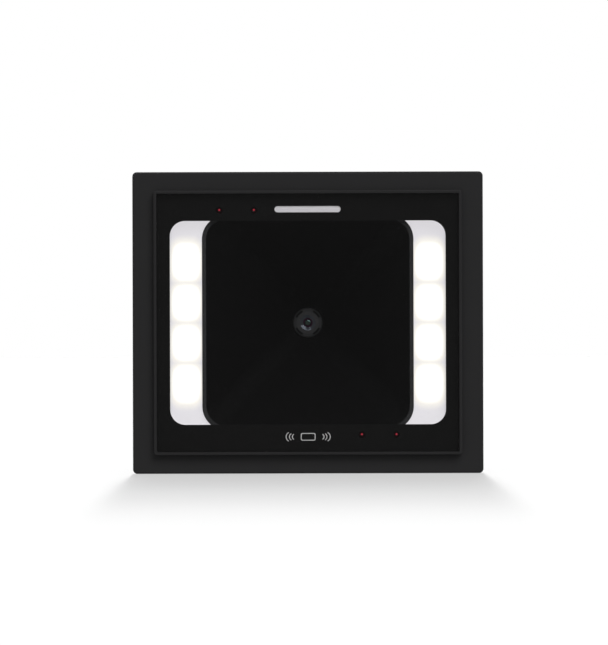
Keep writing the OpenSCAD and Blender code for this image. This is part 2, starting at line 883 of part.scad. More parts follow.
// A flat cable, drawn from above as a bent strip and extruded to its width
module ribbon_cable() {
    half_t = ribbon_t / 2;
    start_y = hood_flange_y + ribbon_socket_t;
    end_y = main_y - ribbon_socket_t / 2;
    bend_x = ribbon_x - ribbon_bend;
    bend_y = end_y - ribbon_bend;
    color(milk_colour) translate([0, 0, -ribbon_w / 2]) linear_extrude(ribbon_w) polygon([
        [ribbon_x - half_t, start_y], [ribbon_x + half_t, start_y],
        [ribbon_x + half_t, bend_y], [bend_x, end_y + half_t],
        [main_w / 2, end_y + half_t], [main_w / 2, end_y - half_t],
        [bend_x - half_t, end_y - half_t], [ribbon_x - half_t, bend_y - half_t]
    ]);
}

// A modular socket whose mouth has two steps for the plug's latch
module interface_socket() {
    latch_z = mouth_z - (mouth_h + latch_h) / 2;
    tab_z = latch_z - (latch_h + tab_h) / 2;
    color(chip_colour) difference() {
        block(0, socket_z, socket_w, socket_h, main_back_y, socket_back_y);
        slab(mouth_floor_y, socket_back_y + past) union() {
            translate([0, mouth_z]) square([mouth_w, mouth_h], center = true);
            translate([0, latch_z + slice]) square([latch_w, latch_h + 2 * slice], center = true);
            translate([0, tab_z + slice]) square([tab_w, tab_h + 2 * slice], center = true);
        }
    }
}

// Sprung wires along the mouth's roof, each bent back on itself
module socket_contacts() {
    roof_z = mouth_z + mouth_h / 2;
    under_z = roof_z - contact_t;
    tip_z = roof_z - contact_drop;
    root_y = mouth_floor_y + contact_t;
    tip_y = root_y + contact_bend;
    bend_y = socket_back_y - contact_setback;
    color(brass_colour) for (i = [0:contact_count - 1])
        translate([(i - (contact_count - 1) / 2) * contact_pitch - contact_w / 2, 0, 0])
            rotate([90, 0, 90]) linear_extrude(contact_w) polygon([
                [root_y, roof_z], [bend_y, roof_z], [bend_y, under_z],
                [tip_y, tip_z], [tip_y - contact_t, tip_z + contact_t],
                [bend_y - contact_bend, under_z], [root_y, under_z]
            ]);
}

// Housing

// A flat ring that is pressed between the skirt's end and a rebate in the housing
module housing_seal() {
    color(mask_colour) slab(skirt_len, skirt_len + seal_t) difference() {
        rounded(pocket_w + 2 * seal_w, pocket_h + 2 * seal_w, pocket_r + seal_w);
        rounded(pocket_w, pocket_h, pocket_r);
    }
}

// The housing's outer or inner form: drafted walls with a rounded back edge
module housing_form(inset, y0, y1, edge) {
    corner_r = body_r - inset / 2;
    hull() {
        slab(y0, y0 + slice)
            rounded(body_w - 2 * inset, body_h - 2 * inset, corner_r, $fn = hull_fn);
        for (i = [0:edge_steps]) {
            angle = 90 * i / edge_steps;
            shrink = 2 * (inset + draft + edge * (1 - cos(angle)));
            y = y1 - edge * (1 - sin(angle));
            slab(y - slice, y)
                rounded(body_w - shrink, body_h - shrink, corner_r, $fn = hull_fn);
        }
    }
}

// A drafted shell with a lip that enters the skirt, screw wells and insert bosses
module rear_housing() {
    seam_back_y = skirt_len + seam_reveal;
    boss_front_y = body_depth - insert_len - 2 * insert_room;
    color(shell_colour) difference() {
        union() {
            difference() {
                union() {
                    housing_form(0, seam_back_y, body_depth, back_edge_r);
                    slab(skirt_len, seam_back_y + seal_t)
                        rounded(body_w - 2 * seam_reveal, body_h - 2 * seam_reveal,
                            body_r - seam_reveal);
                    slab(skirt_len - seam_lip_len, seam_back_y + seal_t)
                        rounded(lip_w, lip_h, lip_r);
                }
                slab(skirt_len - seam_lip_len - past, seam_back_y + seal_t)
                    rounded(body_w - 2 * housing_wall, body_h - 2 * housing_wall,
                        body_r - housing_wall / 2);
                housing_form(housing_wall, seam_back_y, inner_back_y, back_edge_r / 2);
            }
            at_corners(housing_post_x, housing_post_z)
                rod(0, 0, well_y, inner_back_y + slice, well_d + 2 * well_wall);
            at_corners(insert_spacing_x / 2, insert_spacing_z / 2)
                rod(0, 0, boss_front_y, inner_back_y + slice, insert_d + 2 * insert_boss_wall);
        }
        slab(skirt_len - slice, skirt_len + seal_t) difference() {
            rounded(pocket_w + 2 * (seal_w + snug), pocket_h + 2 * (seal_w + snug),
                pocket_r + seal_w + snug);
            rounded(lip_w, lip_h, lip_r);
        }
        at_corners(housing_post_x, housing_post_z) {
            rod(0, 0, well_y + well_floor, body_depth + past, well_d);
            rod(0, 0, well_y - past, body_depth, housing_screw[0] + 2 * snug);
        }
        at_corners(insert_spacing_x / 2, insert_spacing_z / 2)
            rod(0, 0, boss_front_y + insert_room, body_depth + past, insert_d + 2 * tight);
        block(0, socket_z, socket_w + 4 * snug, socket_h + 4 * snug, inner_back_y - past,
            body_depth + past);
        for (turn = [0:360 / sound_holes:359])
            rod(beeper_spot[0] + sound_ring_r * cos(turn),
                beeper_spot[1] + sound_ring_r * sin(turn),
                inner_back_y - past, body_depth + past, sound_hole_d);
    }
}

module housing_screws() {
    color(steel_colour) at_corners(housing_post_x, housing_post_z)
        screw(well_y + well_floor, housing_screw);
}

module mounting_inserts() {
    color(brass_colour) at_corners(insert_spacing_x / 2, insert_spacing_z / 2) difference() {
        rod(0, 0, body_depth - insert_len, body_depth, insert_d);
        rod(0, 0, body_depth - insert_len - past, body_depth + past, insert_bore);
    }
}

front_bezel();
window();
window_mask();
antenna_film();
window_tape();
left_diffuser();
right_diffuser();
left_reflector();
right_reflector();
led_board();
white_leds();
aimer_leds();
status_light_guide();
status_leds();
lens_hood();
chassis_screws();
lens_barrel();
front_lens();
lens_spacer();
rear_lens();
lens_retainer();
lens_holder();
infrared_filter();
image_sensor();
imager_board();
board_connector();
board_spacers();
main_board();
board_screws();
processor();
memory_chip();
beeper();
ribbon_sockets();
ribbon_cable();
interface_socket();
socket_contacts();
housing_seal();
rear_housing();
housing_screws();
mounting_inserts();
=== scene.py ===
import math

import bmesh
import bpy
from mathutils import Matrix, Vector


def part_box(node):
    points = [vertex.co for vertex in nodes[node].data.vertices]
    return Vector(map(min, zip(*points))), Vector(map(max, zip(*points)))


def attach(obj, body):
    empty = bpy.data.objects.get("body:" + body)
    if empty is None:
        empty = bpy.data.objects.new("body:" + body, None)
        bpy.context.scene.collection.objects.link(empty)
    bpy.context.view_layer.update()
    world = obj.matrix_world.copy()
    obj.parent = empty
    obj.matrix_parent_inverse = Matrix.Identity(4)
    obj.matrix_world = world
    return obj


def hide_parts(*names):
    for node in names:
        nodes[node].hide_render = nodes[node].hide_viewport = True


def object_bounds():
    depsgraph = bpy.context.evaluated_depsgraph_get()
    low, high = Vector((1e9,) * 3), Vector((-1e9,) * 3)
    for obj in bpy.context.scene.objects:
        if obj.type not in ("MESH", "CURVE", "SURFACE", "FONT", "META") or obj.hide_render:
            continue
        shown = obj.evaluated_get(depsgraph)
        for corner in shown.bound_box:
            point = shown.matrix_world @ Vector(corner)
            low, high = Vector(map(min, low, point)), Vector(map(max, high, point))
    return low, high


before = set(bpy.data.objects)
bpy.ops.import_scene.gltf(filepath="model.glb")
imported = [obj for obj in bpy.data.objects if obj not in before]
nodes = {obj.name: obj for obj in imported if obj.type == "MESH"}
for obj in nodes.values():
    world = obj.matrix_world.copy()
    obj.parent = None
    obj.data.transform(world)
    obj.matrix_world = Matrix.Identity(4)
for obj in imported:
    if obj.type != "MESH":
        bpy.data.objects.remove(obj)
cad_low, cad_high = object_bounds()

# The looks of a fixed barcode reader: finishes and fine detail on its solids, camera, lights and floor.
# Sizes are in millimetres, as in the solid model, and Blender works in metres.
MM = 0.001

# Photograph: its frame, the object's centre in it and its scale at the flange
FRAME_W_PX = 608
FRAME_H_PX = 645
CENTRE_PX = (307.87, 322.6)
MM_PER_PX = 0.22578

# Camera
CAMERA_DISTANCE = 1200
CAMERA_ROLL_DEG = 0.16
SENSOR_MM = 36

# Suns: a level is the brightness that the sun gives a white surface that faces it
KEY_DIRECTION = (0.27, -0.74, 0.61)
KEY_LEVEL = 0.52
KEY_ANGLE_DEG = 36
FILL_DIRECTION = (-0.12, -1, -0.22)
FILL_LEVEL = 0.37
FILL_ANGLE_DEG = 60
BACK_DIRECTION = (-0.45, 0.75, 0.5)
BACK_LEVEL = 0.5
BACK_ANGLE_DEG = 40

# A wide panel of light that the lens and its barrel mirror
LENS_NODES = ("lens_barrel", "front_lens")
SOFTBOX_DIRECTION = (0.25, -0.7, 0.67)
SOFTBOX_DISTANCE = 1000
SOFTBOX_SIZE = (1200, 425)
SOFTBOX_LEVEL = 5.0
SOFTBOX_COLOUR = (0.74, 0.83, 1.0)

# Room light from above and from below, and how far above and below the horizon they blend
AMBIENT_ABOVE = 0.35
AMBIENT_BELOW = 0.08
HORIZON = 0.2

# A strip light behind the object, for the floor's shadow: the length of the shadow that
# each part of it casts, and its share of the floor's light
STRIP = (
    (60, 0.04), (95, 0.06), (130, 0.06), (170, 0.06),
    (210, 0.065), (250, 0.055), (290, 0.03), (330, 0.02),
)
STRIP_SPACING = 40

# Floor, slightly patchy, with a glow of its own that only the camera sees
FLOOR_SIZE = 8000
FLOOR_GREY = 0.32
FLOOR_PATCH = 60
FLOOR_VARY = 0.005
FLOOR_GLOW = 0.525

# A grey card before the object, which only reflections see
CARD_Y = -900
CARD_SIZE = 2600
CARD_LEVEL = 0.35

# Light bars: their distance from the middle, their lamps, and a soft square of light over each
BAR_X = 27.43
LAMP_COUNT = 4
LAMP_PITCH = 9.04
GLOW_HALF_W = 3.62
GLOW_HALF_H = 4.6
GLOW_END_EXTRA = 0.55
GLOW_SQUARENESS = 3.0
# Where a square's core and its halo start and end to fade, in parts of its half size
GLOW_CORE = (0.7, 1.0)
GLOW_HALO = (0.85, 1.3)
# Painted shade by the mask: where a bar dims towards its outer edge, and to what share
BAR_SHADE_SPAN = (3.0, 3.8)
BAR_SHADE_SHARE = 0.8

# Status light: fine flutes along its face
FLUTE_PITCH = 0.36
FLUTE_DEPTH = 0.01

# Aiming lights: their places, a bright spot a little above each axis, and their domes
AIMER_SPOTS = ((-19.9, 25.3), (-12.1, 25.3), (12.1, -25.3), (19.9, -25.3))
AIMER_RISE = 0.12
AIMER_SPOT = (0.02, 0.33)
AIMER_LEVEL = 0.45
DOME_DEG = 88
DOME_STEPS = 10

# Window: its pane, and the share of an even glow painted in as reflection and of gloss in each face of
# its coated glass
PANE_GAP = 0.02
PANE_CHAMFER = 0.15
PANE_CORNER_R = 0.3
REFLECTION_GLOW_LEVEL = 0.0023
GLOSS_LEVEL = 0.0002

# Hood and lens: in each pair one finish starts to give way at the first value, and the next is full
# at the second

# Depth behind the hood's front
HOOD_RIM = (0.02, 0.25)
# Distance from the lens's axis
# Where the purple reflection of the lens's coat, painted into its colour, comes in
LENS_REFLECTION_EDGE = (0.5, 1.0)
CONE_EDGE = (1.76, 1.82)
# Where painted shade darkens the barrel's outer edge
BARREL_EDGE_SHADE = (3.14, 3.24)
# Depth behind the barrel's crown
CROWN_DEPTH = (0.04, 0.25)
# Where the slots' walls and floors turn near black with painted shade, and rough
SLOT_DEPTH = (0.3, 0.5)
# Distance from the middle of a slot, which is an arc of this radius, to where its painted shade fades,
# a little wider than the slot
SLOT_R = 2.84
SLOT_SHADE_HALF_W = (0.16, 0.22)
# How far a slot's painted shade reaches from its diagonal, which counts as 0, towards an axis, which
# counts as 1
SLOT_SHADE_END = (0.58, 0.7)
# The cone is smooth and the rest of the barrel is dull, with rough slots and a fine grain
CONE_ROUGHNESS = 0.1
SLOT_MILLING = 0.2
BARREL_GRAIN_SHARE = 0.005

# Contactless mark: print between the glass and the mask
MARK_Z = -25.72
MARK_LINE = 0.18
MARK_T = 0.01
MARK_LIFT = 0.004
# The outermost point and the radius of each wave, from the outside in
MARK_WAVES = ((4.97, 1.08), (4.23, 0.79), (3.57, 0.64))
MARK_WAVE_DEG = 63
MARK_WAVE_STEPS = 8
MARK_CARD_W = 3.3
MARK_CARD_H = 1.7
MARK_CARD_R = 0.35
MARK_CORNER_STEPS = 5

# Mounting inserts: points round each of them, and rows of points in each turn of the thread
INSERT_SPACING = (40, 30)
INSERT_BORE_R = 1.25
INSERT_CHAMFER = 0.15
INSERT_STEPS = 48
THREAD_PITCH = 0.5
THREAD_DEPTH = 0.12
THREAD_ROWS = 8

# Circuit boards: the size of the pattern of tracks, their width as a share of it, and their height
TRACK_PATTERN = 4
TRACK_SHARE = 0.06
TRACK_HEIGHT = 0.02

# Moulded finishes: the size of patches of uneven colour, in grains, and the spread of roughness
PATCH_GRAINS = 40
ROUGHNESS_VARY = 0.05
# Each finish's colour, roughness, shine, width and depth of grain, and unevenness of colour
MOULDED = {
    "shell_plastic": ((0.0171, 0.0169, 0.0175), 0.55, 0.12, 0.22, 0.006, 0.05),
    "mask_ink": ((0.0019, 0.0019, 0.0019), 0.5, 0.05, 0.5, 0.0001, 0.03),
    "mark_ink": ((0.46, 0.46, 0.465), 0.6, 0.1, 0.15, 0.0003, 0.04),
    "antenna_film": ((0.3, 0.12, 0.03), 0.4, 0.5, 1.5, 0.01, 0.3),
    "adhesive_tape": ((0.01, 0.01, 0.01), 0.7, 0.3, 0.6, 0.01, 0.05),
    "reflector_white": ((0.8, 0.8, 0.8), 0.4, 0.5, 0.3, 0.004, 0.02),
    "lamp_white": ((0.85, 0.8, 0.55), 0.4, 0.5, 0.3, 0.004, 0.05),
    "filter_glass": ((0.25, 0.5, 0.55), 0.1, 0.5, 2.0, 0.001, 0.05),
    "chip_black": ((0.012, 0.012, 0.013), 0.5, 0.4, 0.15, 0.004, 0.05),
    "connector_ivory": ((0.7, 0.66, 0.55), 0.5, 0.4, 0.3, 0.003, 0.05),
    "ribbon_white": ((0.75, 0.75, 0.74), 0.45, 0.4, 0.8, 0.004, 0.05),
    "seal_rubber": ((0.012, 0.012, 0.012), 0.75, 0.2, 0.3, 0.01, 0.05),
}

# Bare metals: the darkest and the lightest share of the colour, the spread of roughness and the
# depth of the grain
METAL_SHADES = (0.9, 1.05)
METAL_ROUGHNESS_VARY = 0.08
METAL_GRAIN_DEPTH = 0.002
# Each metal's colour, roughness and width of grain
METALS = {
    "steel": ((0.55, 0.56, 0.58), 0.3, 0.2),
    "gold": ((0.95, 0.7, 0.3), 0.25, 0.15),
    "brass": ((0.75, 0.58, 0.28), 0.32, 0.2),
}

# The nodes of each finish
NODE_SLOTS = {
    "shell_plastic": ("front_bezel", "rear_housing"),
    "window_glass": ("window",),
    "mask_ink": ("window_mask",),
    "antenna_film": ("antenna_film",),
    "adhesive_tape": ("window_tape",),
    "diffuser_milk": ("left_diffuser", "right_diffuser"),
    "reflector_white": ("left_reflector", "right_reflector"),
    "circuit_board": ("led_board", "imager_board", "main_board"),
    "lamp_white": ("white_leds", "status_leds"),
    "lamp_red": ("aimer_leds",),
    "status_milk": ("status_light_guide",),
    "hood_plastic": ("lens_hood",),
    "steel": ("chassis_screws", "board_screws", "housing_screws", "board_spacers"),
    "barrel_black": ("lens_barrel", "lens_spacer", "lens_retainer"),
    "lens_glass": ("front_lens", "rear_lens"),
    "filter_glass": ("infrared_filter",),
    "chip_black": (
        "lens_holder", "image_sensor", "board_connector", "processor", "memory_chip", "beeper",
        "interface_socket",
    ),
    "connector_ivory": ("ribbon_sockets",),
    "ribbon_white": ("ribbon_cable",),
    "gold": ("socket_contacts",),
    "seal_rubber": ("housing_seal",),
    "brass": ("mounting_inserts",),
}

# Width of the fine rounding on a node's sharp edges
EDGE_ROUNDING = {
    "front_bezel": 0.08,
    "rear_housing": 0.15,
    "lens_hood": 0.25,
    "interface_socket": 0.12,
    "socket_contacts": 0.04,
    "housing_screws": 0.1,
}
# The bend from which an edge is rounded, and the steps of its rounding
ROUNDED_DEG = 32
ROUNDING_STEPS = 2
# Before that, points this close are joined and faces that bend less than this are merged
WELD_DISTANCE = 0.001
FLAT_DEG = 0.3
# The bend from which an edge of the scene's own pieces looks sharp
SHARP_DEG = 35


class Nodes:
    """The shader of a material or of the world, and a short way to make its nodes."""

    def __init__(self, owner, output="ShaderNodeOutputMaterial"):
        self.owner = owner
        owner.use_nodes = True
        self.tree = owner.node_tree
        self.tree.nodes.clear()
        self.out = self.add(output)

    def add(self, kind, **settings):
        node = self.tree.nodes.new(kind)
        for name, value in settings.items():
            setattr(node, name, value)
        return node

    def feed(self, socket, value):
        """Links a socket to another node's output, or sets it to a fixed value."""
        if isinstance(value, bpy.types.NodeSocket):
            self.tree.links.new(value, socket)
        else:
            socket.default_value = value

    def show(self, shader):
        self.feed(self.out.inputs["Surface"], shader.outputs[0])

    def maths(self, operation, a, b=0.0, c=0.0):
        node = self.add("ShaderNodeMath", operation=operation)
        for socket, value in zip(node.inputs, (a, b, c)):
            self.feed(socket, value)
        return node.outputs[0]

    def place(self):
        """A point's place in its object, in metres."""
        return self.add("ShaderNodeTexCoord").outputs["Object"]

    def axes(self, vector):
        split = self.add("ShaderNodeSeparateXYZ")
        self.feed(split.inputs[0], vector)
        return split.outputs

    def square(self, value):
        return self.maths("MULTIPLY", value, value)

    def reach(self, a, b):
        """The length of a vector with the components a and b."""
        return self.maths("SQRT", self.maths("ADD", self.square(a), self.square(b)))

    def noise(self, size, detail=2.0):
        """Noise whose features are about size millimetres wide."""
        node = self.add("ShaderNodeTexNoise")
        self.feed(node.inputs["Vector"], self.place())
        node.inputs["Scale"].default_value = 1 / (size * MM)
        node.inputs["Detail"].default_value = detail
        return node.outputs["Fac"]

    def spread(self, value, low, high, start=0.3, end=0.7, curve="SMOOTHSTEP"):
        """Maps a value's range from start to end onto low to high."""
        node = self.add("ShaderNodeMapRange", interpolation_type=curve)
        for name, number in (("From Min", start), ("From Max", end), ("To Min", low), ("To Max", high)):
            node.inputs[name].default_value = number
        self.feed(node.inputs["Value"], value)
        return node.outputs["Result"]

    def spread_mm(self, value, low, high, start, end):
        """As spread, for a length whose range is given in millimetres."""
        return self.spread(value, low, high, start * MM, end * MM)

    def blend(self, factor, a, b):
        node = self.add("ShaderNodeMix", data_type="RGBA")
        self.feed(node.inputs["Factor"], factor)
        for name, value in (("A", a), ("B", b)):
            socket = [s for s in node.inputs if s.name == name and s.type == "RGBA"][0]
            self.feed(socket, value)
        return [s for s in node.outputs if s.type == "RGBA"][0]

    def bump(self, height, depth):
        node = self.add("ShaderNodeBump")
        node.inputs["Distance"].default_value = depth * MM
        self.feed(node.inputs["Height"], height)
        return node.outputs["Normal"]

    def principled(self, **values):
        """Shows one Principled shader; the keywords are its sockets' names."""
        node = self.add("ShaderNodeBsdfPrincipled")
        for name, value in values.items():
            self.feed(node.inputs[name.replace("_", " ")], value)
        self.show(node)

    def mix_shaders(self, share, a, b):
        """Two shaders in one, with a fixed share of the second."""
        node = self.add("ShaderNodeMixShader")
        node.inputs[0].default_value = share
        self.feed(node.inputs[1], a.outputs[0])
        self.feed(node.inputs[2], b.outputs[0])
        return node


def new_material(name):
    return Nodes(bpy.data.materials.new(name))


def rgb(red, green, blue):
    return (red, green, blue, 1.0)


def grey(level):
    return rgb(level, level, level)


def shade(colour, factor):
    return rgb(*(min(1.0, c * factor) for c in colour[:3]))


def moulded(name, colour, roughness, shine, grain, depth, vary):
    """Moulded plastic, print or rubber: a fine grain over a slightly uneven colour and gloss."""
    n = new_material(name)
    fine = n.noise(grain, detail=3.0)
    broad = n.noise(grain * PATCH_GRAINS)
    n.principled(
        Base_Color=n.blend(broad, shade(colour, 1 - vary), shade(colour, 1 + vary)),
        Roughness=n.spread(fine, roughness - ROUGHNESS_VARY, roughness + ROUGHNESS_VARY),
        Specular_IOR_Level=shine,
        Normal=n.bump(fine, depth),
    )
    return n.owner


def metal(name, colour, roughness, grain):
    """Bare metal with fine uneven gloss."""
    n = new_material(name)
    fine = n.noise(grain, detail=4.0)
    dark, light = (shade(colour, share) for share in METAL_SHADES)
    n.principled(
        Base_Color=n.blend(fine, dark, light),
        Metallic=1.0,
        Roughness=n.spread(fine, roughness - METAL_ROUGHNESS_VARY, roughness + METAL_ROUGHNESS_VARY),
        Normal=n.bump(fine, METAL_GRAIN_DEPTH),
    )
    return n.owner


def window_material():
    """Thin clear glass with an anti-reflection coat: a faint even glow painted in as reflection, and a
    trace of gloss.
    """
    n = new_material("window_glass")
    clear = n.add("ShaderNodeBsdfTransparent")
    gloss = n.add("ShaderNodeBsdfGlossy")
    n.feed(gloss.inputs["Roughness"], n.spread(n.noise(size=9), low=0.01, high=0.03))
    # haze is no lamp: an even glow that paints in the room's reflection on the glass
    haze = n.add("ShaderNodeEmission")
    coated = n.mix_shaders(GLOSS_LEVEL, clear, gloss)
    n.show(n.mix_shaders(REFLECTION_GLOW_LEVEL, coated, haze))
    return n.owner


def lamp_reach(n, across, z):
    """How far a point of a light bar is from its lamp, in half sizes of the lamp's square."""
    row = n.maths("MULTIPLY_ADD", z, 1 / (LAMP_PITCH * MM), LAMP_COUNT / 2)
    index = n.maths("MINIMUM", n.maths("MAXIMUM", n.maths("FLOOR", row), 0.0), LAMP_COUNT - 1.0)
    along = n.maths("SUBTRACT", n.maths("SUBTRACT", row, index), 0.5)
    last_lamp = (LAMP_COUNT - 1) / 2 * LAMP_PITCH * MM
    end = n.maths("GREATER_THAN", n.maths("ABSOLUTE", z), last_lamp)
    half_h = n.maths("MULTIPLY_ADD", end, GLOW_END_EXTRA, GLOW_HALF_H)
    sideways = n.maths("MULTIPLY", across, 1 / (GLOW_HALF_W * MM))
    upwards = n.maths("DIVIDE", n.maths("MULTIPLY", along, LAMP_PITCH), half_h)
    u = n.maths("POWER", n.maths("ABSOLUTE", sideways), GLOW_SQUARENESS)
    v = n.maths("POWER", n.maths("ABSOLUTE", upwards), GLOW_SQUARENESS)
    return n.maths("POWER", n.maths("ADD", u, v), 1 / GLOW_SQUARENESS)


def diffuser_material():
    """Milky plastic, lit from behind by a row of lamps: a soft square of light over each."""
    n = new_material("diffuser_milk")
    x, _, z = n.axes(n.place())
    across = n.maths("SUBTRACT", n.maths("ABSOLUTE", x), BAR_X * MM)
    reach = lamp_reach(n, across, z)
    halo = n.spread(reach, 1.0, 0.0, *GLOW_HALO)
    core = n.spread(reach, 1.0, 0.0, *GLOW_CORE)
    haze = n.noise(size=1.2)
    milk = rgb(0.6, 0.585, 0.612)
    warm = rgb(0.8, 0.77, 0.7)
    white = rgb(1.0, 1.0, 0.97)
    n.principled(
        Base_Color=n.blend(haze, rgb(0.15, 0.15, 0.155), rgb(0.18, 0.18, 0.185)),
        Roughness=n.spread(haze, low=0.4, high=0.5),
        Emission_Color=n.blend(core, n.blend(halo, milk, warm), white),
        # Painted shade: the glow dims towards the bar's outer edge, next to the mask
        Emission_Strength=n.spread_mm(across, 1.0, BAR_SHADE_SHARE, *BAR_SHADE_SPAN),
        Normal=n.bump(haze, depth=0.002),
    )
    return n.owner


def status_material():
    """A milky light guide with fine flutes along its face, painted darker in their valleys as shade and
    lighter on their crests.
    """
    n = new_material("status_milk")
    _, _, z = n.axes(n.place())
    flute = n.maths("SINE", n.maths("MULTIPLY", z, 2 * math.pi / (FLUTE_PITCH * MM)))
    height = n.spread(flute, low=0.0, high=1.0, start=-1.0, end=1.0)
    n.principled(
        # Painted shade and light: darker in the flutes' valleys, lighter on their crests
        Base_Color=n.blend(height, rgb(0.45, 0.44, 0.46), rgb(0.53, 0.52, 0.54)),
        Roughness=n.spread(n.noise(size=0.5), low=0.4, high=0.5),
        Emission_Color=rgb(0.08, 0.078, 0.082),
        Emission_Strength=1.0,
        Normal=n.bump(flute, FLUTE_DEPTH),
    )
    return n.owner


def aimer_material():
    """A red lamp with a bright spot a little above its axis."""
    n = new_material("lamp_red")
    x, _, z = n.axes(n.place())
    reach = n.reach(x, n.maths("SUBTRACT", z, AIMER_RISE * MM))
    spot = n.spread_mm(reach, 1.0, 0.0, *AIMER_SPOT)
    n.principled(
        Base_Color=n.blend(n.noise(size=0.4), rgb(0.009, 0.001, 0.0015), rgb(0.013, 0.0015, 0.002)),
        Roughness=0.3,
        Specular_IOR_Level=0.15,
        Emission_Color=rgb(1.0, 0.045, 0.09),
        Emission_Strength=n.maths("MULTIPLY", spot, AIMER_LEVEL),
    )
    return n.owner


def lens_material():
    """Dark coated lens glass: green where it mirrors light, with a purple reflection of its coat
    painted on its edge.
    """
    n = new_material("lens_glass")
    x, _, z = n.axes(n.place())
    edge = n.spread_mm(n.reach(x, z), 0.0, 1.0, *LENS_REFLECTION_EDGE)
    n.principled(
        # The purple edge is a painted reflection of the coat
        Base_Color=n.blend(edge, rgb(0.006, 0.01, 0.0095), rgb(0.05, 0.008, 0.036)),
        Roughness=n.spread(n.noise(size=1.5), low=0.05, high=0.08),
        IOR=1.55,
        Specular_Tint=rgb(0.64, 1.0, 0.84),
    )
    return n.owner


def slot_edge_shade(n, x, z, reach):
    """Painted shade along the barrel's slots, a little wider than the slots, each an arc across a
    diagonal.
    """
    from_slot = n.maths("ABSOLUTE", n.maths("SUBTRACT", reach, SLOT_R * MM))
    across = n.spread_mm(from_slot, 1.0, 0.0, *SLOT_SHADE_HALF_W)
    lean = n.maths("ABSOLUTE", n.maths("SUBTRACT", n.square(x), n.square(z)))
    from_diagonal = n.maths("DIVIDE", lean, n.square(reach))
    return n.maths("MULTIPLY", across, n.spread(from_diagonal, 1.0, 0.0, *SLOT_SHADE_END))


def barrel_material():
    """Black anodised barrel: a smooth bluish cone and a darker ring around the crown, with painted
    shade that blackens the slots, a band along them and the outer edge.
    """
    n = new_material("barrel_black")
    x, y, z = n.axes(n.place())
    depth = n.maths("SUBTRACT", y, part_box("lens_barrel")[0].y)
    reach = n.reach(x, z)
    cone = n.spread_mm(reach, 1.0, 0.0, *CONE_EDGE)
    # rim: painted shade on the barrel's outer edge
    rim = n.spread_mm(reach, 0.0, 1.0, *BARREL_EDGE_SHADE)
    ring = n.spread_mm(depth, 0.0, 1.0, *CROWN_DEPTH)
    slot = n.spread_mm(depth, 0.0, 1.0, *SLOT_DEPTH)
    # Painted shade: the slots, a band along them and the barrel's outer edge are near black
    dark = n.maths("MAXIMUM", n.maths("MAXIMUM", slot, slot_edge_shade(n, x, z, reach)), rim)
    grain = n.noise(size=0.08, detail=3.0)
    crown = n.blend(grain, grey(0.041), grey(0.047))
    outside = n.blend(dark, n.blend(ring, crown, grey(0.034)), grey(0.001))
    milled = n.maths("MULTIPLY", slot, n.noise(size=0.1))
    n.principled(
        Base_Color=n.blend(cone, outside, rgb(0.036, 0.04, 0.052)),
        Roughness=n.maths("MULTIPLY_ADD", cone, CONE_ROUGHNESS - 1, 1.0),
        Specular_IOR_Level=0.3,
        Normal=n.bump(n.maths("MULTIPLY_ADD", grain, BARREL_GRAIN_SHARE, milled), SLOT_MILLING),
    )
    return n.owner


def hood_material():
    """Black plastic, near black in the funnel; the rim's flat face is less black."""
    n = new_material("hood_plastic")
    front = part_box("lens_hood")[0].y
    _, y, _ = n.axes(n.place())
    start, end = (front + depth * MM for depth in HOOD_RIM)
    rim = n.spread(y, 1.0, 0.0, start, end)
    funnel = n.blend(n.noise(size=6), rgb(0.0008, 0.0008, 0.0009), rgb(0.0012, 0.0012, 0.0013))
    grain = n.noise(size=0.2, detail=3.0)
    n.principled(
        Base_Color=n.blend(rim, funnel, rgb(0.024, 0.024, 0.025)),
        Roughness=n.spread(grain, low=0.5, high=0.6),
        Specular_IOR_Level=0.03,
        Normal=n.bump(grain, depth=0.004),
    )
    return n.owner


def board_material():
    """Green solder mask with faint tracks under it."""
    n = new_material("circuit_board")
    pattern = n.add("ShaderNodeTexBrick")
    n.feed(pattern.inputs["Vector"], n.place())
    pattern.inputs["Scale"].default_value = 1 / (TRACK_PATTERN * MM)
    pattern.inputs["Mortar Size"].default_value = TRACK_SHARE
    tracks = pattern.outputs["Fac"]
    n.principled(
        Base_Color=n.blend(tracks, rgb(0.006, 0.07, 0.03), rgb(0.012, 0.13, 0.055)),
        Roughness=n.spread(n.noise(size=2), low=0.3, high=0.4),
        Normal=n.bump(tracks, TRACK_HEIGHT),
    )
    return n.owner


def make_materials():
    materials = {
        "window_glass": window_material(),
        "diffuser_milk": diffuser_material(),
        "circuit_board": board_material(),
        "lamp_red": aimer_material(),
        "status_milk": status_material(),
        "hood_plastic": hood_material(),
        "barrel_black": barrel_material(),
        "lens_glass": lens_material(),
    }
    for name, finish in MOULDED.items():
        materials[name] = moulded(name, *finish)
    for name, finish in METALS.items():
        materials[name] = metal(name, *finish)
    return materials


def dress_nodes(materials):
    for slot, names in NODE_SLOTS.items():
        for name in names:
            mesh = nodes[name].data
            mesh.materials.clear()
            mesh.materials.append(materials[slot])


def round_edges(name, width):
    """Rounds a node's sharp edges, with modifiers that leave its mesh as it is."""
    node = nodes[name]
    weld = node.modifiers.new("weld", "WELD")
    weld.merge_threshold = WELD_DISTANCE * MM
    flat = node.modifiers.new("flat", "DECIMATE")
    flat.decimate_type = "DISSOLVE"
    flat.angle_limit = math.radians(FLAT_DEG)
    bevel = node.modifiers.new("edges", "BEVEL")
    bevel.width = width * MM
    bevel.segments = ROUNDING_STEPS
    bevel.limit_method = "ANGLE"
    bevel.angle_limit = math.radians(ROUNDED_DEG)
    bevel.harden_normals = True
    node.modifiers.new("normals", "WEIGHTED_NORMAL")


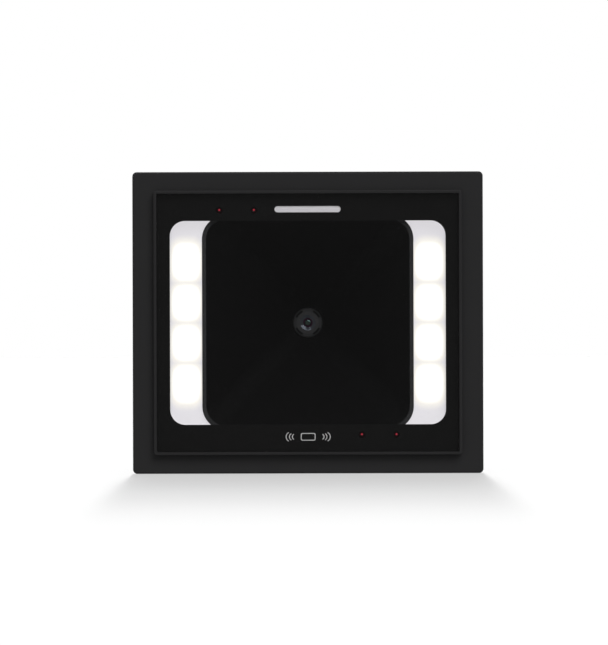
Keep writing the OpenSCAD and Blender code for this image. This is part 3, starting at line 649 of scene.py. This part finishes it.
def rounded_loop(width, height, radius, steps=10):
    """Points of a rounded rectangle, with x across and z up."""
    points = []
    for corner, (sx, sz) in enumerate(((1, 1), (-1, 1), (-1, -1), (1, -1))):
        cx = sx * (width / 2 - radius)
        cz = sz * (height / 2 - radius)
        for i in range(steps + 1):
            angle = math.radians(90 * (corner + i / steps))
            points.append((cx + radius * math.cos(angle), cz + radius * math.sin(angle)))
    return points


def circle(radius, steps=48):
    """Points of a circle, with x across and z up."""
    angles = [2 * math.pi * i / steps for i in range(steps)]
    return [(radius * math.cos(a), radius * math.sin(a)) for a in angles]


class Piece:
    """A mesh under construction, in millimetres."""

    def __init__(self):
        self.bm = bmesh.new()

    def ring(self, points, y):
        return [self.bm.verts.new((x * MM, y * MM, z * MM)) for x, z in points]

    def skin(self, rings):
        """Faces from each ring of points to the next."""
        for a, b in zip(rings, rings[1:]):
            for i in range(len(a)):
                j = (i + 1) % len(a)
                self.bm.faces.new((a[i], a[j], b[j], b[i]))

    def close(self, rings):
        """Skins the rings and caps both ends."""
        self.skin(rings)
        self.bm.faces.new(rings[0])
        self.bm.faces.new(rings[-1])

    def ribbon(self, points, width, y0, y1):
        """A flat strip along an open line of points."""
        sections = []
        for i, (x, z) in enumerate(points):
            before = Vector(points[max(i - 1, 0)])
            after = Vector(points[min(i + 1, len(points) - 1)])
            side = (after - before).orthogonal().normalized() * width / 2
            edges = ((x - side.x, z - side.y), (x + side.x, z + side.y))
            front = self.ring(edges, y0)
            back = self.ring(edges, y1)
            sections.append(front + back[::-1])
        self.close(sections)

    def finish(self, name, material, slot=None, replaced=None, origin=(0, 0, 0)):
        """Puts the piece into the scene, as a part of the root body."""
        bmesh.ops.recalc_face_normals(self.bm, faces=self.bm.faces)
        mesh = bpy.data.meshes.new(name)
        self.bm.to_mesh(mesh)
        self.bm.free()
        mesh.shade_smooth()
        mesh.set_sharp_from_angle(angle=math.radians(SHARP_DEG))
        mesh.materials.append(material)
        piece = bpy.data.objects.new(name, mesh)
        piece.location = Vector(origin) * MM
        bpy.context.scene.collection.objects.link(piece)
        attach(piece, "root")
        if replaced:
            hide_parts(replaced)


def box_mm(name):
    """The lowest and highest corner of a node's box."""
    low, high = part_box(name)
    return low / MM, high / MM


def make_pane(materials):
    """The window: a plate with polished chamfers, a hair clear of the print behind it."""
    low, high = box_mm("window")
    back = high.y - PANE_GAP
    steps = (
        (PANE_CHAMFER, low.y),
        (0, low.y + PANE_CHAMFER),
        (0, back - PANE_CHAMFER),
        (PANE_CHAMFER, back),
    )
    pane = Piece()
    rings = []
    for inset, y in steps:
        width = high.x - low.x - 2 * inset
        height = high.z - low.z - 2 * inset
        rings.append(pane.ring(rounded_loop(width, height, PANE_CORNER_R), y))
    pane.close(rings)
    pane.finish("window_pane", materials["window_glass"], "window_glass", "window")


def make_aimers(materials):
    """Four red lamps: each a short cylinder with a round dome."""
    low, high = box_mm("aimer_leds")
    radius = high.x - AIMER_SPOTS[-1][0]
    dome_y = low.y + radius
    for i, (x, z) in enumerate(AIMER_SPOTS):
        lamp = Piece()
        rings = [lamp.ring(circle(radius), high.y - dome_y)]
        for step in range(DOME_STEPS + 1):
            angle = math.radians(DOME_DEG * step / DOME_STEPS)
            rings.append(lamp.ring(circle(radius * math.cos(angle)), -radius * math.sin(angle)))
        lamp.close(rings)
        name = "aimer_lamp_%d" % (i + 1)
        lamp.finish(name, materials["lamp_red"], "lamp_red", "aimer_leds", (x, dome_y, z))


def wave_points(side, tip, radius):
    """A wave of the mark: an arc that bulges to one side, up to its tip."""
    steps = range(-MARK_WAVE_STEPS, MARK_WAVE_STEPS + 1)
    angles = [math.radians(MARK_WAVE_DEG * i / MARK_WAVE_STEPS) for i in steps]
    return [(side * (tip - radius + radius * math.cos(a)), radius * math.sin(a)) for a in angles]


def card_outline(inset, radius):
    """The outline of the mark's card, a little way in from its edge."""
    return rounded_loop(MARK_CARD_W - 2 * inset, MARK_CARD_H - 2 * inset, radius, MARK_CORNER_STEPS)


def make_mark(materials):
    """The contactless mark: waves on both sides of a plain card, printed behind the glass."""
    back = box_mm("window_mask")[0].y - MARK_LIFT
    front = back - MARK_T
    mark = Piece()
    for side in (-1, 1):
        for tip, radius in MARK_WAVES:
            mark.ribbon(wave_points(side, tip, radius), MARK_LINE, front, back)
    outer = card_outline(0, MARK_CARD_R)
    inner = card_outline(MARK_LINE, MARK_CARD_R - MARK_LINE / 2)
    turns = ((outer, front), (inner, front), (inner, back), (outer, back))
    rings = [mark.ring(points, y) for points, y in turns]
    mark.skin(rings + rings[:1])
    mark.finish("contactless_mark", materials["mark_ink"], origin=(0, 0, MARK_Z))


def thread_points(depth):
    """The outline of a threaded bore at a depth: its wave turns once in each pitch."""
    points = []
    for x, z in circle(1, INSERT_STEPS):
        turn = math.atan2(z, x) / (2 * math.pi)
        phase = (depth / THREAD_PITCH + turn) % 1
        r = INSERT_BORE_R + THREAD_DEPTH * abs(2 * phase - 1)
        points.append((r * x, r * z))
    return points


def insert_rings(insert, radius, low_y, high_y):
    """An insert from its inner end along the outside, over the mouth and back through the bore."""
    length = high_y - low_y
    row_count = int(length / THREAD_PITCH * THREAD_ROWS)
    root_r = INSERT_BORE_R + THREAD_DEPTH
    outside = (
        (radius, low_y),
        (radius, high_y - INSERT_CHAMFER),
        (radius - INSERT_CHAMFER, high_y),
        (root_r + INSERT_CHAMFER, high_y),
    )
    rings = [insert.ring(circle(r, INSERT_STEPS), y) for r, y in outside]
    for row in range(row_count + 1):
        depth = INSERT_CHAMFER + (length - 2 * INSERT_CHAMFER) * row / row_count
        rings.append(insert.ring(thread_points(depth), high_y - depth))
    rings.append(insert.ring(circle(root_r, INSERT_STEPS), low_y))
    return rings


def make_inserts(materials):
    """Brass mounting inserts with a chamfered mouth and a threaded bore."""
    low, high = box_mm("mounting_inserts")
    half_x, half_z = (spacing / 2 for spacing in INSERT_SPACING)
    radius = high.x - half_x
    for i, (sx, sz) in enumerate(((-1, 1), (1, 1), (-1, -1), (1, -1))):
        insert = Piece()
        rings = insert_rings(insert, radius, low.y, high.y)
        insert.skin(rings + rings[:1])
        name = "threaded_insert_%d" % (i + 1)
        place = (sx * half_x, 0, sz * half_z)
        insert.finish(name, materials["brass"], "brass", "mounting_inserts", place)


def make_camera():
    """A long lens straight before the object, whose picture has the photograph's scale and place."""
    data = bpy.data.cameras.new("camera")
    data.sensor_width = SENSOR_MM
    data.lens = SENSOR_MM * CAMERA_DISTANCE / (FRAME_H_PX * MM_PER_PX)
    camera = bpy.data.objects.new("camera", data)
    bpy.context.scene.collection.objects.link(camera)
    offset_x = (FRAME_W_PX / 2 - CENTRE_PX[0]) * MM_PER_PX
    offset_z = (CENTRE_PX[1] - FRAME_H_PX / 2) * MM_PER_PX
    camera.location = Vector((offset_x, -CAMERA_DISTANCE, offset_z)) * MM
    camera.rotation_euler = (math.radians(90), math.radians(CAMERA_ROLL_DEG), 0)
    bpy.context.scene.camera = camera


def stage_plane(name, corners, material):
    mesh = bpy.data.meshes.new(name)
    mesh.from_pydata([Vector(c) * MM for c in corners], [], [range(len(corners))])
    mesh.materials.append(material)
    plane = bpy.data.objects.new(name, mesh)
    bpy.context.scene.collection.objects.link(plane)
    return plane


def make_floor():
    """A white floor: part of its brightness is its own, so that its shadows stay soft."""
    n = new_material("floor_paint")
    seen = n.add("ShaderNodeLightPath").outputs["Is Camera Ray"]
    dark, light = (shade(grey(FLOOR_GREY), share) for share in (1 - FLOOR_VARY, 1 + FLOOR_VARY))
    n.principled(
        Base_Color=n.blend(n.noise(FLOOR_PATCH), dark, light),
        Roughness=1.0,
        Specular_IOR_Level=0.0,
        Emission_Color=grey(1),
        Emission_Strength=n.maths("MULTIPLY", seen, FLOOR_GLOW),
    )
    half = FLOOR_SIZE / 2
    z = cad_low.z / MM
    corners = ((-half, -half, z), (half, -half, z), (half, half, z), (-half, half, z))
    floor = stage_plane("floor", corners, n.owner)
    floor.visible_diffuse = False
    floor.visible_glossy = False
    return floor


def make_card():
    """A grey card that the gloss of the surfaces mirrors."""
    n = new_material("grey_card")
    glow = n.add("ShaderNodeEmission")
    glow.inputs["Strength"].default_value = CARD_LEVEL
    n.show(glow)
    half = CARD_SIZE / 2
    corners = [(x * half, CARD_Y, z * half) for x, z in ((-1, -1), (1, -1), (1, 1), (-1, 1))]
    card = stage_plane("card", corners, n.owner)
    card.visible_camera = False
    card.visible_diffuse = False
    card.visible_shadow = False


def light_group(name, objects, state):
    """The objects that a light reaches, or that block it: these alone, or all but these."""
    collection = bpy.data.collections.new(name)
    for item in objects:
        collection.objects.link(item)
    for entry in collection.collection_objects:
        entry.light_linking.link_state = state
    return collection


def make_sun(name, direction, level, angle_deg, lit):
    data = bpy.data.lights.new(name, "SUN")
    data.energy = level * math.pi
    data.angle = math.radians(angle_deg)
    sun = bpy.data.objects.new(name, data)
    bpy.context.scene.collection.objects.link(sun)
    sun.rotation_euler = Vector(direction).to_track_quat("Z", "Y").to_euler()
    sun.light_linking.receiver_collection = lit


def make_softbox(lit, blocking):
    """The panel's long side runs across the line from the lens's axis to the panel."""
    width, height = (size * MM for size in SOFTBOX_SIZE)
    data = bpy.data.lights.new("softbox", "AREA")
    data.shape = "RECTANGLE"
    data.size = width
    data.size_y = height
    data.energy = SOFTBOX_LEVEL * math.pi * width * height
    data.color = SOFTBOX_COLOUR
    panel = bpy.data.objects.new("softbox", data)
    bpy.context.scene.collection.objects.link(panel)
    out = Vector(SOFTBOX_DIRECTION).normalized()
    across = Vector((0, -1, 0)).cross(out).normalized()
    panel.location = out * SOFTBOX_DISTANCE * MM
    panel.rotation_euler = Matrix((across, out.cross(across), out)).transposed().to_euler()
    panel.light_linking.receiver_collection = lit
    panel.light_linking.blocker_collection = blocking
    panel.visible_diffuse = False


def make_strip(floor):
    """A row of suns behind the object that light the floor alone."""
    lit_floor = light_group("lit_floor", [floor], "INCLUDE")
    height = (cad_high.z - cad_low.z) / MM
    for i, (length, share) in enumerate(STRIP):
        elevation = math.atan2(height, length)
        direction = (0, math.cos(elevation), math.sin(elevation))
        level = share / (FLOOR_GREY * math.sin(elevation))
        softness_deg = math.degrees(STRIP_SPACING * math.sin(elevation) ** 2 / height)
        make_sun("strip_%d" % (i + 1), direction, level, softness_deg, lit_floor)


def make_lights(floor):
    """The lens has the panel in place of the key, and the strip is the floor's only lamp."""
    lens = [nodes[name] for name in LENS_NODES]
    barrel = light_group("blocking_barrel", lens[:1], "INCLUDE")
    make_softbox(light_group("lit_lens", lens, "INCLUDE"), barrel)
    lit_body = light_group("lit_body", [floor] + lens, "EXCLUDE")
    make_sun("key", KEY_DIRECTION, KEY_LEVEL, KEY_ANGLE_DEG, lit_body)
    lit_object = light_group("lit_object", [floor], "EXCLUDE")
    make_sun("fill", FILL_DIRECTION, FILL_LEVEL, FILL_ANGLE_DEG, lit_object)
    make_sun("back", BACK_DIRECTION, BACK_LEVEL, BACK_ANGLE_DEG, lit_object)
    make_strip(floor)


def make_world():
    """A white room to the camera and to reflections; a softer light from it to the rest."""
    n = Nodes(bpy.data.worlds.new("studio"), "ShaderNodeOutputWorld")
    _, _, height = n.axes(n.add("ShaderNodeTexCoord").outputs["Generated"])
    ambient = n.spread(height, AMBIENT_BELOW, AMBIENT_ABOVE, -HORIZON, HORIZON, "LINEAR")
    path = n.add("ShaderNodeLightPath").outputs
    seen = n.maths("MAXIMUM", path["Is Camera Ray"], path["Is Glossy Ray"])
    seen = n.maths("MAXIMUM", seen, path["Is Transmission Ray"])
    level = n.add("ShaderNodeMix")
    n.feed(level.inputs["Factor"], seen)
    n.feed(level.inputs["A"], ambient)
    n.feed(level.inputs["B"], 1.0)
    background = n.add("ShaderNodeBackground")
    n.feed(background.inputs["Color"], grey(1))
    n.feed(background.inputs["Strength"], level.outputs["Result"])
    n.show(background)
    bpy.context.scene.world = n.owner


materials = make_materials()
dress_nodes(materials)
for node_name, rounding in EDGE_ROUNDING.items():
    round_edges(node_name, rounding)
make_pane(materials)
make_aimers(materials)
make_mark(materials)
make_inserts(materials)
make_camera()
stage_floor = make_floor()
make_card()
make_lights(stage_floor)
make_world()
bpy.context.scene.view_settings.view_transform = "Standard"
